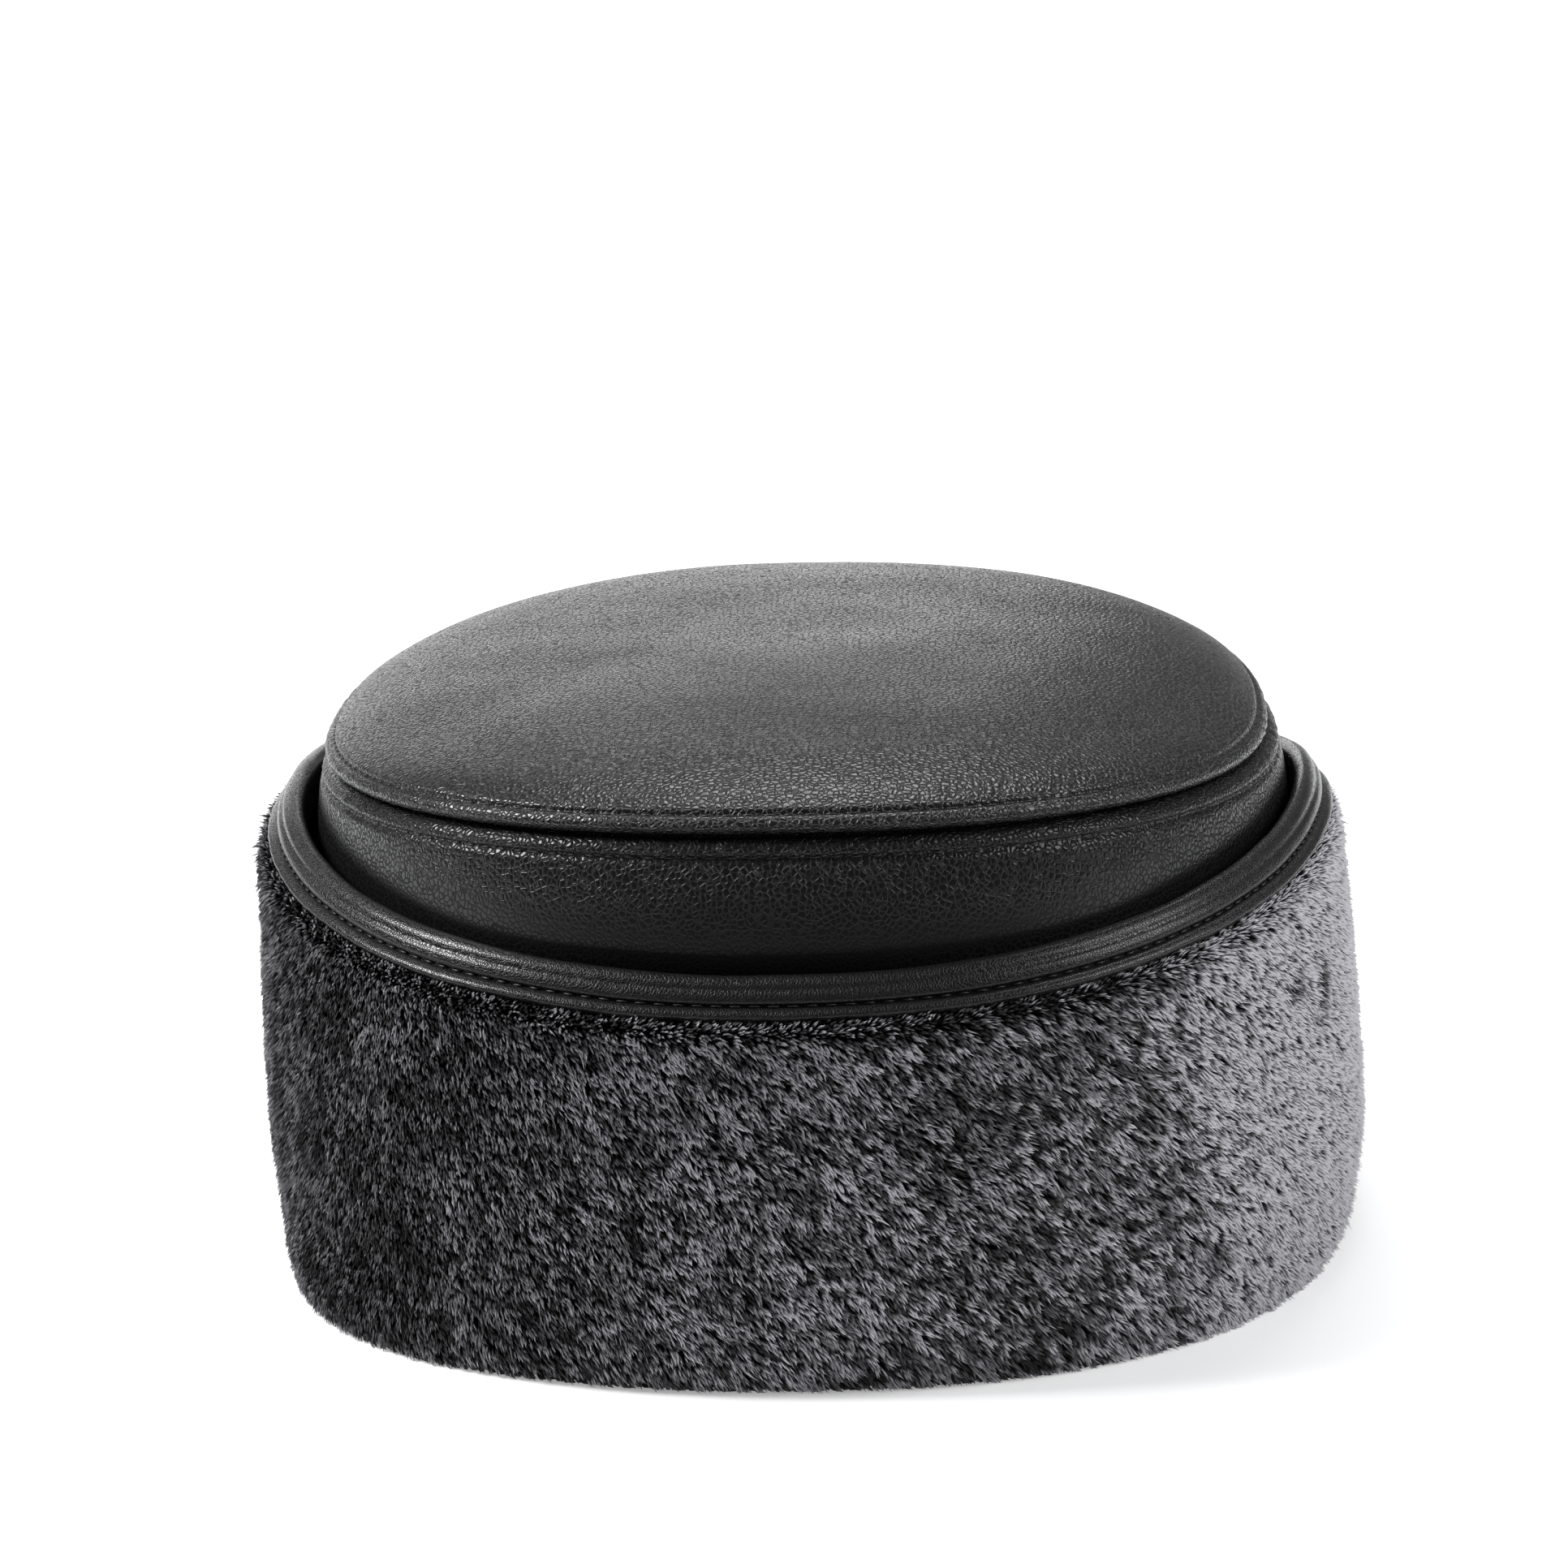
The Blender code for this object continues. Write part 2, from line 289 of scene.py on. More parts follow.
def press(piece, place):
    """Moves each vertex of a spun piece to where place puts its section point at its turn."""
    mesh = piece.data
    co = np.empty(len(mesh.vertices) * 3)
    mesh.vertices.foreach_get("co", co)
    co = co.reshape(-1, 3)
    moved = place(np.hypot(co[:, 0], co[:, 1]), co[:, 2], np.arctan2(co[:, 0], -co[:, 1]))
    mesh.vertices.foreach_set("co", (moved + np.array(CENTRE_SHIFT)).ravel())
    mesh.update()
    pick(piece)
    bpy.ops.object.shade_smooth_by_angle(angle=math.radians(50))


def lumps(points, size, seed):
    """Smooth unevenness from about -1 to 1 at each point, with lumps of about the given size."""
    offset = Vector((seed * 3.7, seed * 1.9, seed * 5.3))
    return np.array([noise.noise(Vector(p) / size + offset) for p in points])


def finish_piece(piece, material, slot, *nodes):
    """Gives a piece its material, hangs it on the hat's one body and puts it in place of its solids."""
    piece.data.materials.clear()
    piece.data.materials.append(material)
    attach(piece, "root")
    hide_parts(*nodes)
    piece.data.calc_loop_triangles()
    print(piece.name, len(piece.data.loop_triangles), "triangles")


# %% [markdown]
# Pebbled leather is a skin whose surface is divided into small round cushions by fine creases. Its grain
# could be modelled, but tens of thousands of cushions, each about a millimetre wide, are better drawn as
# height. One node group makes it from Voronoi cells, bent a little by noise so that no two are alike. The
# binding uses the same group with smaller cells.

# %% Leather grain as a node group


def new_group(name, inputs, outputs):
    """An empty shader node group with its named sockets."""
    group = bpy.data.node_groups.new(name, "ShaderNodeTree")
    for socket, kind, value in inputs:
        made = group.interface.new_socket(socket, in_out="INPUT", socket_type=kind)
        if value is not None:
            made.default_value = value
    for socket, kind in outputs:
        group.interface.new_socket(socket, in_out="OUTPUT", socket_type=kind)
    return group, group.nodes.new("NodeGroupInput"), group.nodes.new("NodeGroupOutput")


def add_node(tree, kind, settings=(), values=()):
    """A node with its settings and the values of its inputs."""
    node = tree.nodes.new(kind)
    for name, value in dict(settings).items():
        setattr(node, name, value)
    for name, value in dict(values).items():
        node.inputs[name].default_value = value
    return node


def join(tree, *pairs):
    """Links outputs to inputs, two by two."""
    for source, target in pairs:
        tree.links.new(source, target)


def math_node(tree, operation, first, second=None, clamp=False):
    """A Math node on sockets or plain numbers. Returns its output."""
    node = tree.nodes.new("ShaderNodeMath")
    node.operation = operation
    node.use_clamp = clamp
    for index, value in enumerate(x for x in (first, second) if x is not None):
        if isinstance(value, (int, float)):
            node.inputs[index].default_value = value
        else:
            tree.links.new(value, node.inputs[index])
    return node.outputs[0]


grain, grain_in, grain_out = new_group(
    "leather_grain",
    [
        ("Place", "NodeSocketVector", None),
        ("Cells", "NodeSocketFloat", 800.0),
        ("Bend", "NodeSocketFloat", 0.0004),
        ("Softness", "NodeSocketFloat", 0.45),
    ],
    [("Height", "NodeSocketFloat"), ("Crease", "NodeSocketFloat"), ("Tone", "NodeSocketFloat")],
)
wander = add_node(grain, "ShaderNodeTexNoise", values={"Scale": 420.0, "Detail": 2.0})
centred = add_node(grain, "ShaderNodeVectorMath", {"operation": "SUBTRACT"}, {1: (0.5, 0.5, 0.5)})
bent = add_node(grain, "ShaderNodeVectorMath", {"operation": "SCALE"})
moved_place = add_node(grain, "ShaderNodeVectorMath", {"operation": "ADD"})
cells = add_node(grain, "ShaderNodeTexVoronoi", {"feature": "DISTANCE_TO_EDGE"})
crease = add_node(grain, "ShaderNodeMapRange", {"interpolation_type": "SMOOTHSTEP"})
broad = add_node(grain, "ShaderNodeTexNoise", values={"Scale": 38.0, "Detail": 3.0, "Roughness": 0.6})
join(
    grain,
    (grain_in.outputs["Place"], wander.inputs["Vector"]),
    (wander.outputs["Color"], centred.inputs[0]),
    (centred.outputs[0], bent.inputs[0]),
    (grain_in.outputs["Bend"], bent.inputs["Scale"]),
    (grain_in.outputs["Place"], moved_place.inputs[0]),
    (bent.outputs[0], moved_place.inputs[1]),
    (moved_place.outputs[0], cells.inputs["Vector"]),
    (grain_in.outputs["Cells"], cells.inputs["Scale"]),
    (grain_in.outputs["Place"], broad.inputs["Vector"]),
    (cells.outputs["Distance"], crease.inputs["Value"]),
    (grain_in.outputs["Softness"], crease.inputs["From Max"]),
)
dome = math_node(grain, "MULTIPLY", cells.outputs["Distance"], 1.8, clamp=True)
flat_part = math_node(grain, "MULTIPLY", crease.outputs[0], 0.55)
cushion = math_node(grain, "ADD", flat_part, math_node(grain, "MULTIPLY", dome, 0.45))
join(
    grain,
    (cushion, grain_out.inputs["Height"]),
    (math_node(grain, "SUBTRACT", 1.0, crease.outputs[0], clamp=True), grain_out.inputs["Crease"]),
    (broad.outputs["Fac"], grain_out.inputs["Tone"]),
)
print("node group", grain.name, "with", len(grain.nodes), "nodes")

# %% [markdown]
# The crown is pebbled and half glossy, and the binding is smooth, fine and a little glossier. Both are
# nearly black. What tells them apart is the size of the grain, so all are made by one function with their
# own values. The upright band mirrors less than the tip, and its grain fades out below, where the leather
# is stretched. The creases are duller than the cushions, and their colour is darker as painted shade.

# %% Leather materials
GRAIN_SOFTNESS = 0.14  # the width of the creases, as a share of a cell
CROWN_DYE = (0.005, 0.005, 0.0055)
TRIM_DYE = (0.006, 0.006, 0.0065)
CROWN_GRAIN = {"cells_per_metre": 900.0, "bend": 0.0006, "depth": 0.00024}
TRIM_GRAIN = {"cells_per_metre": 1800.0, "bend": 0.0003, "depth": 0.00004}
TIP_GLOSS = {"roughness": 0.23, "specular": 0.5}
BAND_GLOSS = {"roughness": 0.22, "specular": 0.31}
TRIM_GLOSS = {"roughness": 0.16, "specular": 0.37}
TIP_FADES = [(0.1095, 0.1140, 1.0, 0.3)]
BAND_FADES = [(0.083, 0.093, 0.12, 1.0)]


def leather(name, colour, cells_per_metre, bend, depth, roughness, specular, fades=()):
    """A grained leather. Each fade gives two heights and the share of the grain's depth at both."""
    material = bpy.data.materials.new(name)
    material.use_nodes = True
    tree = material.node_tree
    shader = tree.nodes["Principled BSDF"]
    shader.inputs["Specular IOR Level"].default_value = specular
    place = add_node(tree, "ShaderNodeTexCoord")
    skin_values = {"Cells": cells_per_metre, "Bend": bend, "Softness": GRAIN_SOFTNESS}
    skin = add_node(tree, "ShaderNodeGroup", {"node_tree": grain}, skin_values)
    bump = add_node(tree, "ShaderNodeBump", values={"Strength": 1.0, "Distance": depth})
    # Painted shade: this ramp makes the creases darker than the cushions.
    tint = add_node(tree, "ShaderNodeValToRGB")
    tint.color_ramp.elements[0].color = (*[c * 1.15 for c in colour], 1)
    tint.color_ramp.elements[1].color = (*[c * 0.35 for c in colour], 1)
    upright = add_node(tree, "ShaderNodeSeparateXYZ")
    join(tree, (place.outputs["Object"], upright.inputs[0]))
    depth_share = skin.outputs["Height"]
    for start, stop, share_at_start, share_at_stop in fades:
        ends = {"From Min": start, "From Max": stop, "To Min": share_at_start, "To Max": share_at_stop}
        fade = add_node(tree, "ShaderNodeMapRange", values=ends)
        join(tree, (upright.outputs["Z"], fade.inputs["Value"]))
        depth_share = math_node(tree, "MULTIPLY", depth_share, fade.outputs[0])
    gloss = math_node(tree, "MULTIPLY_ADD", skin.outputs["Crease"], 0.35)
    gloss.node.inputs[2].default_value = roughness
    varied = math_node(tree, "MULTIPLY_ADD", skin.outputs["Tone"], 0.06)
    join(
        tree,
        (gloss, varied.node.inputs[2]),
        (place.outputs["Object"], skin.inputs["Place"]),
        (skin.outputs["Crease"], tint.inputs["Fac"]),
        (tint.outputs["Color"], shader.inputs["Base Color"]),
        (varied, shader.inputs["Roughness"]),
        (depth_share, bump.inputs["Height"]),
        (bump.outputs["Normal"], shader.inputs["Normal"]),
    )
    return material


crown_leather = leather("crown_leather_black", CROWN_DYE, **CROWN_GRAIN, **TIP_GLOSS, fades=TIP_FADES)
band_leather = leather("band_leather_black", CROWN_DYE, **CROWN_GRAIN, **BAND_GLOSS, fades=BAND_FADES)
trim_leather = leather("trim_leather_black", TRIM_DYE, **TRIM_GRAIN, **TRIM_GLOSS)
thread = bpy.data.materials.new("black_thread")
thread.use_nodes = True
thread_shader = thread.node_tree.nodes["Principled BSDF"]
thread_place = add_node(thread.node_tree, "ShaderNodeTexCoord")
thread_fibre = add_node(thread.node_tree, "ShaderNodeTexNoise", values={"Scale": 2600.0, "Detail": 2.0})
thread_tint = add_node(thread.node_tree, "ShaderNodeValToRGB")
thread_tint.color_ramp.elements[0].color = (0.004, 0.004, 0.005, 1)
thread_tint.color_ramp.elements[1].color = (0.014, 0.014, 0.016, 1)
join(
    thread.node_tree,
    (thread_place.outputs["Object"], thread_fibre.inputs["Vector"]),
    (thread_fibre.outputs["Fac"], thread_tint.inputs["Fac"]),
    (thread_tint.outputs["Color"], thread_shader.inputs["Base Color"]),
)
thread_shader.inputs["Roughness"].default_value = 0.5
print("leathers:", crown_leather.name, band_leather.name, trim_leather.name, thread.name)

# %% [markdown]
# The crown band is the upright wall of the crown. It swells a little on its way up, then rolls in towards
# the seam. Three millimetres below the seam a row of topstitching draws the leather into a shallow groove,
# and between groove and seam it stands up in a soft ridge with small puckers.

# %% Model the crown band
BAND_ROWS = [
    (0.00, 0.0), (0.22, 1.9), (0.48, 4.9), (0.68, 6.8), (0.80, 7.2), (0.88, 6.9), (0.93, 6.3), (0.965, 5.6),
    (0.985, 4.9), (0.996, 3.9), (1.00, 2.6),
]  # share of the way up, and swell in mm
BAND_RIDGE = 0.25 * MM
BAND_FULLNESS = 1.2 * MM  # on the right side
STITCH_PITCH = 3.7 * MM
BAND_STITCH = 3.2 * MM  # from the seam down to the row of stitches
GROOVE_DEPTH = 0.6 * MM
GROOVE_WIDTH = 0.6 * MM
BAND_HEIGHT = SEAM_MEAN - SEWN_GAP - HEM_HEIGHT
ALLOWANCE_EDGE = SEAM_HALF_WIDTH - SEAM_ALLOWANCE
WALL_INSIDE = SEAM_HALF_WIDTH - LEATHER_WALL


def groove(distance):
    """How deep the stitches draw the leather in, at a distance from their line."""
    return GROOVE_DEPTH * np.exp(-((distance / GROOVE_WIDTH) ** 2))


def pucker(turn, distance, seed):
    """Small ripples across a seam, which die away from it. The stitches set their pitch."""
    around = turn * 93 * MM
    ripple = np.sin(2 * math.pi * around / (2 * STITCH_PITCH) + 1.7 * np.sin(turn * 9 + seed))
    uneven = 0.5 + 0.5 * np.sin(turn * 13 + seed * 2.1) * np.sin(turn * 5 + seed)
    return 0.18 * MM * ripple * uneven * np.exp(-((distance / (4.5 * MM)) ** 2))


low_rows = flow_through([(share, swell * MM) for share, swell in BAND_ROWS[:5]], 5)
high_rows = flow_through([(share, swell * MM) for share, swell in BAND_ROWS[3:]], 11)[12:]
outer = np.vstack([low_rows, high_rows])
heights = HEM_HEIGHT + outer[:, 0] * BAND_HEIGHT
below_seam = SEAM_MEAN - SEWN_GAP - heights
band_ridge = BAND_RIDGE * np.exp(-(((below_seam - 1.7 * MM) / (1.0 * MM)) ** 2))
widths = HEM_HALF_WIDTH + outer[:, 1] - groove(below_seam - BAND_STITCH) + band_ridge
top = SEAM_MEAN - SEWN_GAP
band_section = list(zip(widths, heights))
under_top = top - LEATHER_WALL
band_section += [(ALLOWANCE_EDGE, top), (ALLOWANCE_EDGE, under_top), (WALL_INSIDE, under_top)]
inner = flow_through([(share, swell * MM) for share, swell in reversed(BAND_ROWS[:6])], 2)
for share, swell in inner:
    band_section.append((HEM_HALF_WIDTH + swell - LEATHER_WALL, HEM_HEIGHT + share * BAND_HEIGHT))


def place_band(radius, height, turn):
    """The band's wall reaches from the hem to the seam's saddle, with soft dents and a fuller right side."""
    share = (height - HEM_HEIGHT) / BAND_HEIGHT
    reach = np.minimum(radius / SEAM_HALF_WIDTH, 1.0)
    risen = HEM_HEIGHT + share * (seam_height(turn, reach) - SEWN_GAP - HEM_HEIGHT)
    flat = oval(radius, risen, turn)
    dent = 0.7 * MM * lumps(flat, 34 * MM, 1) * np.sin(np.clip(share, 0, 1) * math.pi)
    dent = dent + pucker(turn, top - height, 0.4)
    dent = dent + BAND_FULLNESS * hump(turn, 90, 55) * np.clip(share, 0, 1) * (share < 0.999)
    return oval(radius + dent, risen, turn)


crown_band = spin_section("crown_band_skin", band_section, 260)
press(crown_band, place_band)
finish_piece(crown_band, band_leather, "crown_leather", "crown_band")

# %% [markdown]
# The crown tip is an oval panel on a soft filling. Its edge is sewn into the seam, rolls out over it and
# then arches inwards to a nearly level middle. A cloth simulation could blow it up, but the fine rows at its
# edge and the groove of the topstitching are easier to keep true by spinning, and broad lumps of noise give
# the unevenness of the filling.

# %% Model the crown tip
TIP_ROWS = [
    (0.972, 0.1), (0.990, 0.3), (1.002, 0.9), (1.007, 1.9), (1.003, 3.2), (0.990, 4.6), (0.965, 6.0),
    (0.925, 7.7), (0.860, 9.6), (0.750, 11.8), (0.550, 14.0), (0.280, 15.4), (0.0, 15.9),
]  # share of the way out to the seam, and rise in mm
TIP_STITCH = 6.6 * MM  # from the seam up to the row of stitches, along the leather
TIP_RIDGE = 0.40 * MM
CORNER_DIP = 2.2 * MM  # of the two front corners

edge_rows = flow_through([(reach * SEAM_HALF_WIDTH, rise * MM) for reach, rise in TIP_ROWS[:7]], 9)
roof_rows = flow_through([(reach * SEAM_HALF_WIDTH, rise * MM) for reach, rise in TIP_ROWS[5:]], 4)[5:]
tip_outer = np.vstack([edge_rows, roof_rows])
steps_along = np.diff(tip_outer, axis=0)
travelled = np.concatenate([[0], np.cumsum(np.hypot(*steps_along.T))])
facing_out = np.gradient(tip_outer, axis=0)
facing_out = np.stack([facing_out[:, 1], -facing_out[:, 0]], 1) / np.hypot(*facing_out.T)[:, None]
ridge = TIP_RIDGE * np.exp(-(((travelled - TIP_STITCH + 2.4 * MM) / (1.3 * MM)) ** 2))
tip_outer = tip_outer + facing_out * (ridge - groove(travelled - TIP_STITCH))[:, None]
tip_outer[-1] = (0.0, TIP_ROWS[-1][1] * MM)


def inset(rows, wall):
    """The rows moved in by the wall's thickness, square to the section that they draw."""
    rows = np.array(rows)
    along = np.gradient(rows, axis=0)
    along /= np.hypot(*along.T)[:, None]
    return rows + wall * np.stack([-along[:, 1], along[:, 0]], 1)


tip_inner = inset([(reach * SEAM_HALF_WIDTH, rise * MM) for reach, rise in TIP_ROWS[2:]], LEATHER_WALL)
tip_inner[-1, 0] = 0.0
tip_section = [(0.0, tip_outer[-1][1])] + list(map(tuple, tip_outer[-2::-1]))
tip_section += [(ALLOWANCE_EDGE, 0.0), (ALLOWANCE_EDGE, ALLOWANCE_WALL), (WALL_INSIDE, ALLOWANCE_WALL)]
tip_section += [(max(r, 0.0), z) for r, z in tip_inner]


def place_tip(radius, rise, turn):
    """The panel on the seam's saddle, with the soft lumps of its filling and the puckers of its edge."""
    reach = radius / SEAM_HALF_WIDTH
    flat = oval(SEAM_HALF_WIDTH, seam_height(turn, reach) + rise, turn, reach)
    fade = np.clip(1.06 - reach, 0, 0.5) * 2
    broad_lumps = 1.0 * MM * lumps(flat, 62 * MM, 5) + 0.45 * MM * lumps(flat, 24 * MM, 8)
    corners = hump(turn, -50, 40) + 0.8 * hump(turn, 58, 40)
    broad_lumps -= CORNER_DIP * np.exp(-(((reach - 0.88) / 0.13) ** 2)) * corners
    distance = (1.0 - reach) * SEAM_HALF_WIDTH + rise
    wave = pucker(turn, np.maximum(distance, 0), 1.1)
    height = seam_height(turn, reach) + rise + broad_lumps * fade
    return oval(SEAM_HALF_WIDTH, height, turn, reach + wave / SEAM_HALF_WIDTH)


crown_tip = spin_section("crown_tip_skin", tip_section, 260, closed=False)
press(crown_tip, place_tip)
finish_piece(crown_tip, crown_leather, "crown_leather", "crown_tip")

# %% [markdown]
# Topstitching is a row of short thread ends, each sunk between two needle holes. One stitch is modelled from
# a small sphere that is drawn out long, and the row is that stitch copied along its line and joined into one
# mesh. A Curve with an Array would lay them too, but the copies would bend where thread stays straight.

# %% Sew the topstitching
STITCH_LENGTH = 2.7 * MM
THREAD = 0.5 * MM
pick_nothing()
bpy.ops.mesh.primitive_ico_sphere_add(subdivisions=1, radius=0.5)
one_stitch = bpy.context.object
bpy.ops.transform.resize(value=(STITCH_LENGTH, THREAD, THREAD))
bpy.ops.object.transform_apply(location=True, rotation=True, scale=True)
STITCH_POINTS = np.array([v.co for v in one_stitch.data.vertices])
STITCH_FACES = np.array([p.vertices for p in one_stitch.data.polygons])
STITCH_POINTS[:, 2] -= 0.35 * THREAD * (2 * STITCH_POINTS[:, 0] / STITCH_LENGTH) ** 2
bpy.data.objects.remove(one_stitch)


def mesh_from(name, points, faces):
    """A mesh object from arrays of points and of triangles."""
    data = bpy.data.meshes.new(name)
    data.vertices.add(len(points))
    data.vertices.foreach_set("co", np.asarray(points, np.float32).ravel())
    data.loops.add(faces.size)
    data.loops.foreach_set("vertex_index", np.asarray(faces, np.int32).ravel())
    data.polygons.add(len(faces))
    data.polygons.foreach_set("loop_start", np.arange(0, faces.size, 3, dtype=np.int32))
    data.polygons.foreach_set("use_smooth", np.ones(len(faces), bool))
    data.update(calc_edges=True)
    piece = bpy.data.objects.new(name, data)
    bpy.context.scene.collection.objects.link(piece)
    return piece


def sew_row(name, line, lift, node, pitch=STITCH_PITCH):
    """Lays stitches along a closed line. The line gives points for turns. Lift is outward and upward."""
    fine = np.linspace(-math.pi, math.pi, 4001)
    path = line(fine) + np.array(CENTRE_SHIFT)
    length = np.concatenate([[0], np.cumsum(np.linalg.norm(np.diff(path, axis=0), axis=1))])
    count = int(length[-1] / pitch)
    turn = np.interp((np.arange(count) + 0.5) / count * length[-1], length, fine)
    centre = line(turn) + np.array(CENTRE_SHIFT)
    along = line(turn + 0.004) - line(turn - 0.004)
    along /= np.linalg.norm(along, axis=1)[:, None]
    outward = np.stack([along[:, 1], -along[:, 0], 0 * turn], 1)
    outward /= np.linalg.norm(outward, axis=1)[:, None]
    normal = outward * lift[0] + np.array([0, 0, 1.0]) * lift[1]
    normal -= along * np.sum(normal * along, 1)[:, None]
    normal /= np.linalg.norm(normal, axis=1)[:, None]
    side = np.cross(normal, along)
    basis = np.stack([along, side, normal], 1)
    points = (STITCH_POINTS @ basis) + centre[:, None, :]
    faces = STITCH_FACES[None] + (np.arange(count) * len(STITCH_POINTS))[:, None, None]
    piece = mesh_from(name, points.reshape(-1, 3), faces.reshape(-1, 3))
    finish_piece(piece, thread, "trim_leather", node)


def tip_line(turn):
    """The line of stitches on the crown tip."""
    row = np.argmin(np.abs(travelled - TIP_STITCH))
    radius, rise = tip_outer[row]
    return place_tip(np.full_like(turn, radius + 0.05 * MM), np.full_like(turn, rise + 0.04 * MM), turn)


def band_line(turn):
    """The line of stitches on the crown band."""
    row = np.argmin(np.abs(below_seam - BAND_STITCH))
    return place_band(np.full_like(turn, widths[row] + 0.06 * MM), np.full_like(turn, heights[row]), turn)


sew_row("crown_tip_topstitching", tip_line, (0.88, 0.47), "crown_tip")
sew_row("crown_band_topstitching", band_line, (0.99, 0.1), "crown_band")

# %% [markdown]
# The cuff facing is the thin leather on the inner side of the turned-up cuff. Only a dark sliver of it shows
# in the gap beside the crown. The binding is a strip of smooth leather rolled over the cuff's edge and sewn
# through, so that a groove and a narrow lip lie under the roll. Rolled leather is never even: the roll
# swells and shrinks by a few tenths of a millimetre, and the lip has fine cross wrinkles.

# %% Model the cuff facing and the binding
FACING_ROWS = [(86.7, 8.0), (90.6, 26.0), (94.8, 52.0), (97.4, 72.0), (97.4, 79.4)]
BINDING_ROWS = [
    (95.9, 74.0), (95.8, 79.8), (96.2, 81.4), (97.3, 82.3), (98.7, 82.1), (99.7, 81.2), (100.05, 80.3),
    (100.7, 79.7), (101.15, 78.7), (101.1, 78.0), (100.75, 77.4), (102.3, 77.0), (103.1, 76.1), (102.6, 75.1),
    (100.8, 75.3), (99.9, 77.4), (98.8, 80.0), (97.6, 80.9), (97.0, 79.6), (97.1, 74.0),
]  # half width and height in mm, as in the other tables of the cuff
OUTER_COUNT = 14  # the rows that show come first
facing_inside = flow_through(np.array(FACING_ROWS) * MM, 4)
facing_outside = facing_inside[::-1] + np.array([FACING_WALL, 0.0])


def place_facing(radius, height, turn):
    """The facing follows the cuff's height, with slight slack."""
    flat = oval(radius, cuff_height(height, turn), turn)
    return oval(radius + 0.15 * MM * lumps(flat, 20 * MM, 2), cuff_height(height, turn), turn)


facing_section = list(map(tuple, np.vstack([facing_inside, facing_outside])))
cuff_facing = spin_section("cuff_facing_skin", facing_section, 200)
press(cuff_facing, place_facing)
finish_piece(cuff_facing, trim_leather, "trim_leather", "cuff_facing")

ROLL_CENTRE = (99.2 * MM, 78.6 * MM)
LIP_TOP = 78.0 * MM
BINDING_STITCH = (101.05 * MM, 77.5 * MM)
BINDING_STITCH_PITCH = 3.4 * MM
binding_outer = flow_through(np.array(BINDING_ROWS[:OUTER_COUNT]) * MM, 3)
binding_section = list(map(tuple, binding_outer)) + [(r * MM, z * MM) for r, z in BINDING_ROWS[OUTER_COUNT:]]


def place_binding(radius, height, turn):
    """The binding's roll swells and shrinks along its length, and its skin has cross wrinkles."""
    flat = oval(radius, cuff_height(height, turn), turn)
    around = np.arctan2(height - ROLL_CENTRE[1], radius - ROLL_CENTRE[0])
    along = turn * 110 * MM
    swell = 0.05 * lumps(np.stack([along, 0 * along, 0 * along], 1), 16 * MM, 3)
    across_roll = np.stack([along, 2 * MM * np.cos(around), 2 * MM * np.sin(around)], 1)
    wrinkle = 0.030 * lumps(across_roll, 1.5 * MM, 6)
    size = 1 + swell + wrinkle * (0.4 + 0.6 * (height < LIP_TOP))
    r = ROLL_CENTRE[0] + (radius - ROLL_CENTRE[0]) * size
    z = ROLL_CENTRE[1] + (height - ROLL_CENTRE[1]) * size
    wander = 0.35 * MM * lumps(flat, 42 * MM, 4)
    return oval(r, cuff_height(z, turn) + wander, turn)


def binding_line(turn):
    """The line of stitches on the cuff binding."""
    radius, height = BINDING_STITCH
    return place_binding(np.full_like(turn, radius), np.full_like(turn, height), turn)


cuff_binding = spin_section("cuff_binding_roll", binding_section, 480)
press(cuff_binding, place_binding)
finish_piece(cuff_binding, trim_leather, "trim_leather", "cuff_binding")
sew_row("cuff_binding_topstitching", binding_line, (0.95, 0.1), "cuff_binding", BINDING_STITCH_PITCH)

# %% [markdown]
# Under the pile lies the skin that the hairs grow from, thickened by dense dark underfur. It is spun like
# the rest, a little inside the measured surface, and is almost black. Part of that is the underfur's own
# dark colour, and part is painted shade that stands for the shade deep in the gaps between the tufts.

# %% Model the underfur
TOP_ROWS = [(99.0, 79.6), (99.5, 79.2)]  # under the binding
PILE_ROWS = [
    (100.3, 74.3), (103.2, 74.0), (104.6, 71.4), (105.2, 65.5), (105.8, 59.0), (106.2, 52.0), (106.5, 45.0),
    (106.7, 38.0), (106.8, 31.0), (106.8, 24.0), (106.7, 17.0), (106.5, 10.0), (106.0, 4.0), (103.0, 0.0),
    (89.0, 0.0), (85.6, 1.6), (84.7, 5.0), (85.8, 7.7),
]
INNER_ROWS = [(88.3, 7.7), (92.3, 26.0), (96.5, 52.0), (99.0, 72.0)]
PILE_DEPTH = 2.3 * MM  # from the ends of the pile down to the underfur
FOOT_TUCK = 2.6 * MM
pile_line = flow_through(np.array(PILE_ROWS) * MM, 10)
tucked = np.clip(1 - pile_line[:, 1] / (24 * MM), 0, 1) ** 2 * (pile_line[:, 0] > 95 * MM)
pile_line[:, 0] -= FOOT_TUCK * tucked
pile_along = np.gradient(pile_line, axis=0)
pile_along /= np.hypot(*pile_along.T)[:, None]
pile_out = np.stack([-pile_along[:, 1], pile_along[:, 0]], 1)
pile_travel = np.concatenate([[0], np.cumsum(np.hypot(*np.diff(pile_line, axis=0).T))])
from_top = np.clip(pile_travel / (4 * MM), 0.1, 1)
from_end = np.clip((pile_travel[-1] - pile_travel) / (8 * MM), 0.05, 1)
sunk = PILE_DEPTH * from_top * from_end
sunk *= np.where((pile_line[:, 1] < 1.5 * MM), 0.35, 1.0)
underfur_line = pile_line - pile_out * sunk[:, None]
underfur_line[:, 1] = np.maximum(underfur_line[:, 1], 0.3 * MM)
underfur_section = [(r * MM, z * MM) for r, z in TOP_ROWS]
underfur_section += list(map(tuple, underfur_line[::4])) + [tuple(underfur_line[-1])]
underfur_section += [(r * MM, z * MM) for r, z in INNER_ROWS]
